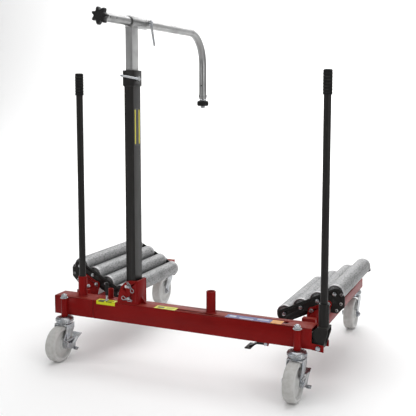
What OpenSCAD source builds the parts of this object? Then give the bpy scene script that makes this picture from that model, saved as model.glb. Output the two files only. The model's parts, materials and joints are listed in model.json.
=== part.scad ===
// Wheel dolly: a telescoping steel frame on four swivel casters with two
// sloping roller cradles, two removable lever bars and a steadying arm on a mast.
// Origin: on the floor, under the middle of the whole outline. X along the beam,
// +Y from the beam towards the rear ends of the legs, +Z up. Millimetres.

/* [Beam and legs] */

// height of the square beam
beam_h = 80; // [66:1:96]
// depth of the beam, front to back
beam_d = 80; // [66:1:96]
// wall of the beam tube
beam_wall = 4; // [3:0.5:6]
// mast axis to the axis of the right-hand caster stem
span_right = 726; // [605:1:870]
// mast axis to the axis of the left-hand caster stem
span_left = 313; // [260:1:376]
// how far the beam runs past each caster stem
beam_overhang = 50; // [45:1:60]
// leg length behind the beam
leg_len = 900; // [750:5:1080]
// width of a leg tube
leg_w = 66; // [54:1:80]
// height of a leg tube
leg_h = 42; // [36:1:50]
// how far the left frame can be drawn out
width_travel = 150; // [80:5:180]

/* [Casters] */

// wheel diameter
wheel_d = 150; // [125:1:160]
// wheel tread width
wheel_w = 48; // [40:1:54]
// trail of the wheel behind its swivel axis
trail = 42; // [34:1:50]
// top of the caster head above the top of the wheel
head_rise = 34; // [32:1:44]
// radius of the swivel head
head_r = 39; // [36:0.5:44]

/* [Roller cradles] */

// roller diameter
roller_d = 70; // [58:1:72]
// length of the roller tube
roller_len = 520; // [430:5:620]
// distance between neighbouring roller axles
roller_pitch = 77; // [75:0.5:92]
// slope of the cradle
cradle_slope = 27; // [20:1:34]
// height of the lowest roller axle above the floor
cradle_low = 247; // [240:1:290]
// gap from the back of the beam to the front cradle plate
cradle_gap = 117; // [90:1:140]
// stem axis to the lowest roller axle, right-hand cradle
cradle_in_right = 121; // [100:1:145]
// stem axis to the lowest roller axle, left-hand cradle
cradle_in_left = 144; // [120:1:170]

/* [Mast and arm] */

// width of the outer mast tube, along the beam
mast_w = 42; // [35:1:50]
// depth of the outer mast tube, front to back
mast_d = 60; // [50:1:64]
// wall of the outer mast tube
mast_wall = 5; // [4:0.5:6]
// top of the outer mast tube above the floor
mast_top = 1230; // [1025:5:1470]
// height of the arm axis above the floor
arm_z = 1425; // [1290:5:1700]
// arm tube diameter
arm_d = 36; // [30:1:42]
// arm overhang behind the mast axis
arm_reach = 696; // [580:4:830]
// arm overhang in front of the mast axis
arm_front = 212; // [177:1:254]
// bend radius of the arm, to its centre line
arm_bend = 145; // [110:1:170]
// height of the arm's lower end above the floor
arm_low = 1112; // [930:2:1200]
// star knob diameter
star_d = 72; // [60:1:86]

/* [Lever bars] */

// lever bar diameter
bar_d = 28; // [24:1:32]
// lever bar length
bar_len = 955; // [800:5:1140]
// socket tube height
socket_h = 88; // [74:1:100]
// largest outward swing of the crank, degrees
lever_swing = 40; // [20:1:40]

/* [Fits] */

// radial clearance of pins and axles in their bores
run_fit = 0.06; // [0.02:0.01:0.1]
// gap per side between telescoping square tubes
tube_gap = 0.5; // [0.3:0.1:1]
// radius of axle bolts
axle_r = 8; // [7:0.5:9]

/* [Output] */

// sub-part to draw, or "all"

/* [Hidden] */

$fn = 64;
fr = span_right;
fl = -span_left;
caster_h = wheel_d + head_rise;
beam_z = caster_h + 2;
beam_top = beam_z + beam_h;
half_d = beam_d / 2;
stem_y = -half_d - 18;
rear_y = half_d + leg_len - 55;
beam_right = fr + beam_overhang;
beam_left = fl - beam_overhang - 13;
joint_x = -181;
stem_r = 14;
axle_z = wheel_d / 2;
fork_in = wheel_w / 2 + 4;
fork_t = 4;
roller_r = roller_d / 2;
plate_t = 6;
plate_y = half_d + cradle_gap;
roller_y = plate_y + plate_t + 4;
far_y = roller_y + roller_len + 4;
right_x0 = fr - cradle_in_right;
left_x0 = fl + cradle_in_left;
rail = 3 * roller_pitch;
low_end = 30;
bore_w = mast_w - 2 * mast_wall;
bore_d = mast_d - 2 * mast_wall;
in_w = bore_w - 2 * tube_gap;
in_d = bore_d - 2 * tube_gap;
bar_r = bar_d / 2;
socket_r = bar_r + 5;
arm_r = arm_d / 2;
left_socket_x = fl + 57;
pivot_x = beam_right + 25;
pivot_z = beam_z + 8;
crank_x = -37;
crank_z = beam_h / 2 + 2;
socket_x = pivot_x + 10;
socket_z = beam_top - 2;
mast_pin_z = beam_top + 27;
lock_r = 49;
pin_r = 6;
tilt_max = 11;
hub_z = mast_top - 34;
hub_y = -14;
clamp_y = 82;
rack_x = 20;
rack_end = fr - 126;
pedal_x = fr - 136;
pedal_z = beam_z - 10;
pin_x = -118;
pin_y = -half_d + 12;
mid_x = (right_x0 + left_x0) / 2;
mid_y = (half_d + leg_len - arm_front - 40) / 2;

// ---- helpers ----

module placed() {
  translate([-mid_x, -mid_y, 0]) children();
}

// box from its two opposite corners
module span_box(a, b) {
  translate(a) cube(b - a);
}

// round bar from a point, along one axis
module bar_x(p, r, l) {
  translate(p) rotate([0, 90, 0]) cylinder(r = r, h = l);
}

module bar_y(p, r, l) {
  translate(p) rotate([-90, 0, 0]) cylinder(r = r, h = l);
}

module bar_z(p, r, l) {
  translate(p) cylinder(r = r, h = l);
}

// hexagon prism along Z, size across flats
module hex(p, flats, l) {
  translate(p) cylinder(r = flats / 2 / cos(30), h = l, $fn = 6);
}

// outline in the X-Z plane, given a thickness along Y
module xz_plate(y, t) {
  translate([0, y + t, 0]) rotate([90, 0, 0]) linear_extrude(height = t) children();
}

// outline in the Y-Z plane, given a thickness along X
module yz_plate(x, t) {
  translate([x, 0, 0]) rotate([90, 0, 90]) linear_extrude(height = t) children();
}

// bolt along Y: head in front, nut behind, both outside the gripped length
module bolt_y(p, r, grip) {
  translate(p) rotate([-90, 0, 0]) {
    cylinder(r = r, h = grip);
    translate([0, 0, -0.7 * r]) cylinder(r = r * 1.9, h = 0.7 * r, $fn = 6);
    translate([0, 0, grip]) cylinder(r = r * 1.9, h = 0.8 * r, $fn = 6);
    translate([0, 0, grip]) cylinder(r = r, h = 1.3 * r);
  }
}

// ---- frame ----

module stem_tube(x) {
  difference() {
    union() {
      bar_z([x, stem_y, caster_h], stem_r, beam_top - 2 - caster_h);
      span_box([x - 9, stem_y, beam_z], [x + 9, -half_d, beam_top - 2]);
    }
    bar_z([x, stem_y, caster_h - 1], axle_r + 0.5, beam_h + 4);
  }
}

module leg(x) {
  difference() {
    span_box([x - leg_w / 2, half_d, beam_z], [x + leg_w / 2, half_d + leg_len, beam_z + leg_h]);
    span_box([x - leg_w / 2 + 4, half_d + 4, beam_z + 4],
      [x + leg_w / 2 - 4, half_d + leg_len - 4, beam_z + leg_h - 4]);
    bar_z([x, rear_y, beam_z - 1], axle_r + 0.5, leg_h + 2);
  }
  difference() {
    bar_z([x, rear_y, beam_z + 2], 14, leg_h - 4);
    bar_z([x, rear_y, beam_z], axle_r + 0.5, leg_h);
  }
  leg_ring(x);
}

// seat of the rear caster head under the leg
module leg_ring(x) {
  difference() {
    bar_z([x, rear_y, caster_h], 16, beam_z - caster_h + 0.5);
    bar_z([x, rear_y, caster_h - 1], axle_r + 0.5, 5);
  }
}

// position on the cradle: s along the slope from the lowest axle, n square to it
function on_slope(x0, dir, s, n) = [
  x0 + dir * (s * cos(cradle_slope) - n * sin(cradle_slope)),
  cradle_low + s * sin(cradle_slope) + n * cos(cradle_slope)];

// upright red plate between a leg and a cradle plate
module stand(x0, dir, leg_x, y) {
  tie = on_slope(x0, dir, roller_pitch * 1.5, -26);
  tie2 = on_slope(x0, dir, roller_pitch * 2.5, -26);
  in_x = leg_x - dir * (leg_w / 2 - 1);
  out_x = leg_x + dir * (leg_w / 2 - 1);
  difference() {
    xz_plate(y, 5) union() {
      polygon([[in_x, beam_z + leg_h - 1], [tie[0] - dir * 14, tie[1] - 4],
        [tie[0] - dir * 10, tie[1] + 8], [tie2[0], tie2[1] + 13],
        [tie2[0] + dir * 13, tie2[1]], [tie2[0] + dir * 8, tie2[1] - 14],
        [out_x, beam_z + leg_h - 1]]);
      translate(tie) circle(r = 14);
      translate(tie2) circle(r = 13);
    }
    bar_y([tie[0], y - 1, tie[1]], 5.1, 7);
    bar_y([tie2[0], y - 1, tie2[1]], 5.1, 7);
  }
}

module stands(x0, dir, leg_x) {
  stand(x0, dir, leg_x, plate_y - 5);
  stand(x0, dir, leg_x, far_y + plate_t);
  // stepped foot between the beam and the front stand
  top = beam_z + leg_h;
  span_box([leg_x - leg_w / 2 + 1, half_d, top - 1], [leg_x + leg_w / 2 - 1, half_d + 34, top + 24]);
  span_box([leg_x - leg_w / 2 + 12, half_d + 30, top - 1], [leg_x + leg_w / 2 - 1, half_d + 56, top + 40]);
}

module socket_tube(x) {
  difference() {
    union() {
      bar_z([x, 0, beam_top - 0.5], socket_r, socket_h);
      translate([x, 0, beam_top - 0.5]) cylinder(r1 = socket_r + 4, r2 = socket_r, h = 5);
    }
    bar_z([x, 0, beam_top], bar_r + run_fit, socket_h);
  }
}

module mast_bracket() {
  inner = mast_d / 2 + 0.6;
  for (s = [-1, 1]) {
    difference() {
      xz_plate(s > 0 ? inner : -inner - 5, 5)
        polygon([[-63, beam_top - 1], [-60, beam_top + 20], [-56, beam_top + 40],
          [-50, beam_top + 59], [-45, beam_top + 69], [-38, beam_top + 78],
          [-29, beam_top + 87], [-18, beam_top + 95], [-7, beam_top + 99],
          [6, beam_top + 101], [35, beam_top + 102], [35, beam_top - 1]]);
      bar_y([-4, -inner - 9, mast_pin_z], pin_r + run_fit, 2 * inner + 18);
      for (a = [0 : 3 : 21])
        bar_y([-4 - lock_r * sin(a), -inner - 9, mast_pin_z + lock_r * cos(a)], pin_r + 0.35,
          2 * inner + 18);
    }
  }
  span_box([29, -inner - 5, beam_top - 1], [35, inner + 5, beam_top + 102]);
  // gusset on the outer side of the web
  xz_plate(-4, 8) polygon([[34, beam_top - 1], [58, beam_top - 1], [34, beam_top + 30]]);
}

module ear(y) {
  xz_plate(y, beam_wall) polygon([[beam_right - 2, beam_z], [pivot_x + 21, beam_z - 6],
    [pivot_x + 21, beam_z + 21], [beam_right - 2, beam_z + 25]]);
}

module main_beam() {
  color("darkred") placed() {
    difference() {
      union() {
        span_box([joint_x, -half_d, beam_z], [beam_right, half_d, beam_top]);
        ear(-half_d);
        ear(half_d - beam_wall);
      }
      span_box([joint_x - 1, -half_d + beam_wall, beam_z + beam_wall],
        [pivot_x + 40, half_d - beam_wall, beam_top - beam_wall]);
      bar_y([pivot_x, -half_d - 1, pivot_z], axle_r + run_fit, beam_d + 2);
      // slot for the pawl, hole for the pull pin, and a sighting hole
      span_box([pedal_x - 48, -14, beam_z - 1], [pedal_x - 16, 14, beam_z + beam_wall + 1]);
      bar_z([pin_x, pin_y, beam_top - beam_wall - 1], 5.2, beam_wall + 2);
      bar_z([fr - 61, 0, beam_top - beam_wall - 1], 9, beam_wall + 2);
    }
    stem_tube(fr);
    socket_tube(fr - 376);
    mast_bracket();
    // short upright post beside the joint
    difference() {
      bar_z([-127, 20, beam_top - 0.5], 11.5, 42);
      bar_z([-127, 20, beam_top + 6], 7, 42);
    }
    // lugs under the beam for the release pedal
    for (s = [-1, 1]) difference() {
      xz_plate(s > 0 ? 16 : -20, 4) polygon([[pedal_x - 12, beam_z + 0.5], [pedal_x + 14, beam_z + 0.5],
        [pedal_x + 9, pedal_z - 8], [pedal_x - 8, pedal_z - 8]]);
      bar_y([pedal_x, -22, pedal_z], 4 + run_fit, 44);
    }
  }
}

module left_frame() {
  w = beam_wall;
  color("darkred") placed() {
    difference() {
      span_box([beam_left, -half_d, beam_z], [joint_x - 1, half_d, beam_top]);
      span_box([beam_left + 5, -half_d + w, beam_z + w], [joint_x, half_d - w, beam_top - w]);
    }
    stem_tube(fl);
    difference() {
      socket_tube(left_socket_x);
      bar_x([left_socket_x, 0, beam_top + 46], 4 + run_fit, socket_r + 12);
    }
    difference() {
      bar_x([left_socket_x + socket_r - 1, 0, beam_top + 46], 8, 6);
      bar_x([left_socket_x, 0, beam_top + 46], 4 + run_fit, socket_r + 12);
    }
  }
}

// tube welded inside the left frame, which slides in the main beam
module slide_tube() {
  g = beam_wall + tube_gap;
  w = beam_wall;
  color("dimgray") placed() difference() {
    union() {
      span_box([joint_x - 90, -half_d + g, beam_z + g], [60, half_d - g, beam_top - g]);
      for (x = [joint_x - 90, joint_x - 16])
        span_box([x, -half_d + w, beam_z + w], [x + 12, half_d - w, beam_top - w]);
    }
    span_box([joint_x - 91, -half_d + g + w, beam_z + g + w], [61, half_d - g - w, beam_top - g - w]);
  }
}

module right_leg() {
  color("darkred") placed() {
    leg(fr);
    stands(right_x0, 1, fr);
  }
}

module left_leg() {
  color("darkred") placed() {
    leg(fl);
    stands(left_x0, -1, fl);
  }
}

module rack_bar() {
  z0 = beam_z + beam_wall + tube_gap + 4;
  color("dimgray") placed() difference() {
    span_box([rack_x, -10, z0], [rack_end, 10, z0 + 18]);
    for (x = [rack_end - 300 : 14 : rack_end - 10])
      xz_plate(-11, 22) polygon([[x, z0 - 1], [x + 11, z0 - 1], [x + 11, z0 + 1], [x + 3, z0 + 5], [x, z0 + 5]]);
  }
}

// ---- roller cradles ----

module cradle_outline(tail) {
  r = 20;
  difference() {
    union() {
      polygon([[-low_end + 6, -34], [-low_end, -20], [-low_end, 4], [-14, 20], [rail + 8, 20],
        [rail + 24, 12], [rail + 30, -8], [rail + 20, -36]]);
      if (tail) polygon([[rail + 29, -4], [rail + 33, -26], [rail + 14, -62], [rail - 24, -74],
        [rail - 48, -60], [rail - 30, -30]]);
    }
    for (k = [0 : 3]) translate([k * roller_pitch, 0]) circle(r = axle_r + run_fit);
    for (k = [1.5, 2.5]) translate([k * roller_pitch, -26]) circle(r = 5 + run_fit);
  }
}

module cradle_plate(x0, dir, y, tail) {
  difference() {
    xz_plate(y, plate_t) translate([x0, cradle_low]) scale([dir, 1]) rotate(cradle_slope)
      cradle_outline(tail);
    children();
  }
}

module cradle(x0, dir) {
  color([0.12, 0.12, 0.12]) placed() {
    cradle_plate(x0, dir, plate_y, true);
    cradle_plate(x0, dir, far_y, false);
    // tie bar, under the gap between the two lowest rollers
    p = on_slope(x0, dir, roller_pitch / 2, -26);
    bar_y([p[0], plate_y + plate_t - 1, p[1]], 8, far_y - plate_y - plate_t + 2);
    // bolt heads on the outer tail of the front plate
    for (q = [[rail + 25, -12], [rail + 8, -44], [rail - 20, -62]]) {
      t = on_slope(x0, dir, q[0], q[1]);
      bar_y([t[0], plate_y - 4, t[1]], 6, 4.5);
    }
  }
}

module right_cradle() {
  cradle(right_x0, 1);
}

module left_cradle() {
  cradle(left_x0, -1);
}

module stand_bolts(x0, dir) {
  color("silver") placed() for (k = [1.5, 2.5], y = [plate_y - 5, far_y]) {
    p = on_slope(x0, dir, k * roller_pitch, -26);
    bolt_y([p[0], y, p[1]], 5, plate_t + 5);
  }
}

module right_stand_bolts() {
  stand_bolts(right_x0, 1);
}

module left_stand_bolts() {
  stand_bolts(left_x0, -1);
}

module axles(x0, dir) {
  color("silver") placed() for (k = [0 : 3]) {
    p = on_slope(x0, dir, k * roller_pitch, 0);
    bar_y([p[0], plate_y, p[1]], axle_r, far_y + plate_t - plate_y);
    bar_y([p[0], plate_y - 6, p[1]], 7, 6.5);
    bar_y([p[0], far_y + plate_t - 0.5, p[1]], 7, 6.5);
  }
}

module right_axles() {
  axles(right_x0, 1);
}

module left_axles() {
  axles(left_x0, -1);
}

module roller(x0, dir, k) {
  p = on_slope(x0, dir, k * roller_pitch, 0);
  b = axle_r + run_fit;
  color("darkgray") placed() translate([p[0], roller_y, p[1]]) rotate([-90, 0, 0])
    rotate_extrude() polygon([[b, -2.5], [14, -2.5], [14, 2], [roller_r - 7, 2], [roller_r - 4, 0],
      [roller_r - 1.5, 0], [roller_r, 1.5], [roller_r, roller_len - 1.5], [roller_r - 1.5, roller_len],
      [roller_r - 4, roller_len], [roller_r - 7, roller_len - 2], [14, roller_len - 2],
      [14, roller_len + 2.5], [b, roller_len + 2.5], [b, roller_len - 14], [roller_r - 4, roller_len - 14],
      [roller_r - 4, 14], [b, 14]]);
}

module right_roller_1() {
  roller(right_x0, 1, 0);
}

module right_roller_2() {
  roller(right_x0, 1, 1);
}

module right_roller_3() {
  roller(right_x0, 1, 2);
}

module right_roller_4() {
  roller(right_x0, 1, 3);
}

module left_roller_1() {
  roller(left_x0, -1, 0);
}

module left_roller_2() {
  roller(left_x0, -1, 1);
}

module left_roller_3() {
  roller(left_x0, -1, 2);
}

module left_roller_4() {
  roller(left_x0, -1, 3);
}

// ---- casters ----

// king bolt with its upper race; nut_z is where the washer sits
module stem(x, y, nut_z) {
  color("silver") placed() translate([x, y, 0]) {
    rotate_extrude() polygon([[0, wheel_d + 0.5], [axle_r, wheel_d + 0.5], [axle_r, caster_h - 20],
      [head_r - 6, caster_h - 20], [head_r, caster_h - 17], [head_r, caster_h - 8],
      [head_r - 5, caster_h - 3], [20, caster_h], [axle_r, caster_h],
      [axle_r, nut_z], [17, nut_z], [17, nut_z + 3], [axle_r, nut_z + 3],
      [axle_r, nut_z + 16], [axle_r - 3, nut_z + 19], [0, nut_z + 19]]);
    hex([0, 0, nut_z + 3], 24, 11);
    // retaining head under the crown
    hex([0, 0, wheel_d - 3.5], 22, 4.5);
  }
}

module front_right_stem() {
  stem(fr, stem_y, beam_top - 2);
}

module front_left_stem() {
  stem(fl, stem_y, beam_top - 2);
}

module rear_right_stem() {
  stem(fr, rear_y, beam_z + leg_h);
}

module rear_left_stem() {
  stem(fl, rear_y, beam_z + leg_h);
}

module fork(x, y) {
  crown = wheel_d + 1.5;
  color("silver") placed() translate([x, y, 0]) {
    difference() {
      union() {
        bar_z([0, 0, crown], head_r - 3, 5);
        bar_z([0, 0, crown + 4.5], head_r - 9, caster_h - 20.5 - crown - 4.5);
        span_box([-fork_in - fork_t, -30, crown], [fork_in + fork_t, 26, crown + 5]);
      }
      bar_z([0, 0, crown - 1], axle_r + run_fit, 40);
    }
    for (s = [-1, 1]) difference() {
      yz_plate(s > 0 ? fork_in : -fork_in - fork_t, fork_t) union() {
        polygon([[-30, crown + 1], [26, crown + 1], [26, crown - 18], [-trail + 15, axle_z - 4],
          [-trail - 15, axle_z - 4], [-trail - 14, axle_z + 18], [-34, crown - 20]]);
        translate([-trail, axle_z]) circle(r = 16);
      }
      bar_x([-60, -trail, axle_z], axle_r + run_fit, 120);
    }
  }
}

module front_right_fork() {
  fork(fr, stem_y);
}

module front_left_fork() {
  fork(fl, stem_y);
}

module rear_right_fork() {
  fork(fr, rear_y);
}

module rear_left_fork() {
  fork(fl, rear_y);
}

module caster_axle(x, y) {
  w = fork_in + fork_t + 3.4;
  color("silver") placed() translate([x, y - trail, axle_z]) {
    bar_x([-w - 6, 0, 0], axle_r, 2 * w + 14);
    bar_x([-w - 7, 0, 0], 12, 7);
    translate([w, 0, 0]) rotate([0, 90, 0]) cylinder(r = 13.5, h = 9, $fn = 6);
  }
}

module front_right_axle() {
  caster_axle(fr, stem_y);
}

module front_left_axle() {
  caster_axle(fl, stem_y);
}

module rear_right_axle() {
  caster_axle(fr, rear_y);
}

module rear_left_axle() {
  caster_axle(fl, rear_y);
}

module wheel(x, y) {
  r = wheel_d / 2;
  h = wheel_w / 2;
  b = axle_r + run_fit;
  color([0.86, 0.86, 0.84]) placed() translate([x, y - trail, axle_z]) rotate([0, 90, 0])
    rotate_extrude($fn = 96) polygon([[b, -h - 3], [20, -h - 3], [22, -h + 8], [r - 19, -h + 10],
      [r - 15, -h + 1], [r - 6, -h + 1], [r - 2, -h + 5], [r, -h + 12], [r, h - 12], [r - 2, h - 5],
      [r - 6, h - 1], [r - 15, h - 1], [r - 19, h - 10], [22, h - 8], [20, h + 3], [b, h + 3]]);
}

module front_right_wheel() {
  wheel(fr, stem_y);
}

module front_left_wheel() {
  wheel(fl, stem_y);
}

module rear_right_wheel() {
  wheel(fr, rear_y);
}

module rear_left_wheel() {
  wheel(fl, rear_y);
}

module brake(x, y) {
  o = fork_in + fork_t + 0.4;
  back = wheel_d / 2 - trail + 6;
  color("silver") placed() translate([x, y, 0]) {
    for (s = [-1, 1]) difference() {
      yz_plate(s > 0 ? o : -o - 2.6, 2.6) union() {
        translate([-trail, axle_z]) circle(r = 17);
        polygon([[-trail, axle_z + 17], [back + 8, axle_z + 14], [back + 8, axle_z + 4],
          [back - 10, axle_z - 12], [back - 14, axle_z - 34], [back - 22, axle_z - 36],
          [-trail + 6, axle_z - 16]]);
      }
      bar_x([-60, -trail, axle_z], axle_r + run_fit, 120);
    }
    // upper tread, bent up, and lower lift tab
    yz_plate(-o - 2.6, 2 * o + 5.2)
      polygon([[back, axle_z + 4], [back + 8, axle_z + 4], [back + 38, axle_z + 15], [back + 37, axle_z + 19],
        [back + 6, axle_z + 9], [back, axle_z + 9]]);
    yz_plate(o - 0.5, 18) polygon([[back - 24, axle_z - 36], [back - 10, axle_z - 30],
      [back - 8, axle_z - 33], [back - 22, axle_z - 40]]);
  }
}

module front_right_brake() {
  brake(fr, stem_y);
}

module front_left_brake() {
  brake(fl, stem_y);
}

// ---- lever, pull rod and release pedal ----

module lever_crank() {
  cheek_y = 24;
  color([0.12, 0.12, 0.12]) placed() {
    difference() {
      union() {
        for (s = [-1, 1]) xz_plate(s > 0 ? cheek_y : -cheek_y - 6, 6) union() {
          translate([pivot_x, pivot_z]) circle(r = 15);
          translate([pivot_x + crank_x, pivot_z + crank_z]) circle(r = 10);
          polygon([[pivot_x + crank_x - 8, pivot_z + crank_z + 6], [pivot_x + crank_x + 6, pivot_z + crank_z + 8],
            [socket_x - 18, socket_z + 6], [socket_x + 22, socket_z + 6], [socket_x + 22, socket_z - 14],
            [pivot_x + 14, pivot_z - 4], [pivot_x - 12, pivot_z - 9], [pivot_x + crank_x - 6, pivot_z + crank_z - 8]]);
        }
        bar_y([pivot_x, -33, pivot_z], 14, 66);
        span_box([socket_x - 18, -cheek_y - 2, socket_z], [socket_x + 22, cheek_y + 2, socket_z + 6]);
        bar_z([socket_x, 0, socket_z + 2], socket_r + 1, socket_h + 2);
      }
      bar_y([pivot_x, -40, pivot_z], axle_r + run_fit, 80);
      bar_y([pivot_x + crank_x, -40, pivot_z + crank_z], 4 + run_fit, 80);
      bar_z([socket_x, 0, socket_z + 5], bar_r + run_fit, socket_h + 4);
    }
  }
}

module lever_pin() {
  color("silver") placed() bolt_y([pivot_x, -half_d, pivot_z], axle_r, beam_d);
}

module crank_roller() {
  color("silver") placed() {
    bar_y([pivot_x + crank_x, -21, pivot_z + crank_z], 10, 42);
    bar_y([pivot_x + crank_x, -30.5, pivot_z + crank_z], 4, 61);
  }
}

module pull_rod() {
  cx = pivot_x + crank_x;
  cz = pivot_z + crank_z;
  color("dimgray") placed() {
    span_box([cx - 21, -19, cz - 22], [cx - 13, 19, cz + 16]);
    span_box([cx - 21, -19, cz - 22], [cx + 21, 19, cz - 15]);
    span_box([cx + 13, -19, cz - 22], [cx + 21, 19, cz + 16]);
    span_box([cx - 260, -6, cz - 14], [cx - 20, 6, cz + 6]);
    span_box([cx - 260, -14, cz - 14], [cx - 214, 14, cz + 2]);
  }
}

module release_pedal() {
  color([0.12, 0.12, 0.12]) placed() difference() {
    union() {
      bar_y([pedal_x, -15, pedal_z], 8, 30);
      xz_plate(-15, 30) polygon([[pedal_x, pedal_z - 7], [pedal_x, pedal_z + 2], [pedal_x - 28, pedal_z + 2],
        [pedal_x - 30, beam_z + beam_wall + 4], [pedal_x - 38, beam_z + beam_wall + 4],
        [pedal_x - 40, pedal_z - 2], [pedal_x - 72, pedal_z - 20], [pedal_x - 70, pedal_z - 25],
        [pedal_x - 38, pedal_z - 8]]);
      span_box([pedal_x - 84, -32, pedal_z - 26], [pedal_x - 60, 32, pedal_z - 21]);
    }
    bar_y([pedal_x, -20, pedal_z], 4 + run_fit, 40);
    span_box([pedal_x - 42, -16, pedal_z + 3], [pedal_x - 26, -12, beam_top]);
    span_box([pedal_x - 42, 12, pedal_z + 3], [pedal_x - 26, 16, beam_top]);
  }
}

module pedal_pin() {
  color("silver") placed() bolt_y([pedal_x, -20, pedal_z], 4, 40);
}

module width_pin() {
  color([0.12, 0.12, 0.12]) placed() {
    bar_z([pin_x, pin_y, beam_top - beam_wall + 0.5], 4.8, 31.5);
    bar_z([pin_x, pin_y, beam_top + 24], 6.5, 56);
  }
}

// ---- lever bars ----

module lever_bar(x, z) {
  color([0.13, 0.13, 0.13]) placed() difference() {
    bar_z([x, 0, z], bar_r, bar_len - 6);
    bar_z([x, 0, z - 1], bar_r - 2.5, bar_len - 20);
  }
}

module bar_grip(x, z) {
  top = z + bar_len;
  color([0.08, 0.08, 0.08]) placed() difference() {
    union() {
      bar_z([x, 0, top - 92], bar_r + 3.5, 90);
      bar_z([x, 0, top - 4], bar_r + 1.5, 4);
      for (k = [0 : 6]) bar_z([x, 0, top - 86 + 11 * k], bar_r + 4.5, 4);
    }
    bar_z([x, 0, top - 93], bar_r + 0.01, 87);
  }
}

module right_bar() {
  lever_bar(socket_x, socket_z + 5.5);
}

module right_grip() {
  bar_grip(socket_x, socket_z + 5.5);
}

module left_bar() {
  lever_bar(left_socket_x, beam_top + 0.5);
}

module left_grip() {
  bar_grip(left_socket_x, beam_top + 0.5);
}

module left_screw() {
  color("silver") placed() {
    bar_x([left_socket_x + bar_r + 0.3, 0, beam_top + 46], 4, socket_r - bar_r + 16);
    translate([left_socket_x + socket_r + 6, 0, beam_top + 46]) rotate([0, 90, 0])
      cylinder(r = 8, h = 6, $fn = 6);
  }
}

// ---- mast ----

module mast_tube() {
  low = beam_top + 10;
  color([0.14, 0.14, 0.14]) placed() difference() {
    union() {
      span_box([-mast_w / 2, -mast_d / 2, low], [mast_w / 2, mast_d / 2, mast_top]);
      span_box([-mast_w / 2 - 4, -mast_d / 2 - 4, mast_top - 62], [mast_w / 2 + 4, mast_d / 2 + 4, mast_top]);
      bar_x([mast_w / 2, hub_y, hub_z], 11, 9);
    }
    span_box([-bore_w / 2, -bore_d / 2, low - 1], [bore_w / 2, bore_d / 2, mast_top + 1]);
    bar_x([bore_w / 2 - 1, hub_y, hub_z], 6 + run_fit, 30);
    bar_y([-4, -40, mast_pin_z], pin_r + run_fit, 80);
    bar_y([-4, -40, mast_pin_z + lock_r], pin_r + run_fit, 80);
  }
}

module mast_pins() {
  color("silver") placed() for (z = [mast_pin_z, mast_pin_z + lock_r]) {
    bar_y([-4, -mast_d / 2 - 16, z], pin_r, mast_d + 27);
    bar_y([-4, mast_d / 2 + 8, z], 10, 4);
  }
}

// hairpin clip: round eye and two legs that straddle the pin, wire radius w
module hairpin(z, turn) {
  w = 1.6;
  y = -mast_d / 2 - 11;
  translate([-4, y, z]) rotate([0, turn, 0]) {
    translate([0, 0, -25]) rotate([90, 0, 0]) rotate_extrude() translate([8, 0]) circle(r = w, $fn = 16);
    for (s = [-1, 1]) translate([s * (pin_r + w + 0.1), 0, -25]) cylinder(r = w, h = 36, $fn = 16);
  }
}

module spring_clips() {
  color("silver") placed() {
    hairpin(mast_pin_z, 100);
    hairpin(mast_pin_z + lock_r, -35);
  }
}

// screw along X with a shoulder that starts at out, and a rod through its head
module clamp_screw(p, turn, out, rod) {
  translate(p) {
    bar_x([0, 0, 0], 6, out + 6);
    bar_x([out, 0, 0], 8, 12);
    rotate([turn, 0, 0]) translate([out + 6, 0, -12]) cylinder(r = 5, h = rod);
  }
}

module mast_screw() {
  color("silver") placed() clamp_screw([in_w / 2 + 0.4, hub_y, hub_z], 86, 14.5, 160);
}

module inner_mast() {
  color("gainsboro") placed() difference() {
    union() {
      span_box([-in_w / 2, -in_d / 2, mast_top - 430], [in_w / 2, in_d / 2, arm_z - 4]);
      bar_y([0, -26, arm_z], arm_r + 6, 136);
      bar_x([arm_r + 2, clamp_y, arm_z], 11, 16);
    }
    span_box([-in_w / 2 + 2.5, -in_d / 2 + 2.5, mast_top - 431], [in_w / 2 - 2.5, in_d / 2 - 2.5, arm_z - arm_r - 12]);
    bar_y([0, -30, arm_z], arm_r + 0.1, 150);
    bar_x([arm_r - 4, clamp_y, arm_z], 6 + run_fit, 40);
  }
}

module arm_screw() {
  color("silver") placed() clamp_screw([arm_r + 0.6, clamp_y, arm_z], 197, 20, 118);
}

module arm_path(r) {
  bar_y([0, -arm_front, arm_z], r, arm_front + arm_reach - arm_bend);
  translate([0, arm_reach - arm_bend, arm_z - arm_bend]) rotate([90, 0, 90])
    rotate_extrude(angle = 90) translate([arm_bend, 0]) circle(r = r);
  bar_z([0, arm_reach, arm_low], r, arm_z - arm_bend - arm_low);
}

module arm_tube() {
  color("gainsboro") placed() difference() {
    arm_path(arm_r);
    difference() {
      arm_path(arm_r - 2.5);
      bar_y([0, -arm_front - 1, arm_z], arm_r, 13);
      bar_z([0, arm_reach, arm_low - 1], arm_r, 13);
    }
    bar_y([0, -arm_front - 2, arm_z], 6 + run_fit, 24);
    bar_z([0, arm_reach, arm_low - 2], 6 + run_fit, 24);
    for (y = [22, 68]) bar_x([0, y - arm_front, arm_z], 3.5, arm_r + 2);
    bar_y([0, arm_reach - arm_r - 4, arm_low + 66], 3.5, arm_r + 2);
  }
}

module star_knob() {
  r = star_d / 2;
  color([0.1, 0.1, 0.1]) placed() translate([0, -arm_front, arm_z]) rotate([90, 0, 0]) {
    translate([0, 0, -10]) cylinder(r = 6, h = 20);
    translate([0, 0, 1]) cylinder(r = 15, h = 8);
    translate([0, 0, 8]) linear_extrude(height = 30) union() {
      circle(r = r - 8);
      for (k = [0 : 6]) rotate(k * 360 / 7 + 90) translate([r - 10, 0]) circle(r = 9.5);
    }
    translate([0, 0, 37]) cylinder(r1 = r - 10, r2 = r - 16, h = 3);
  }
}

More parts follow.
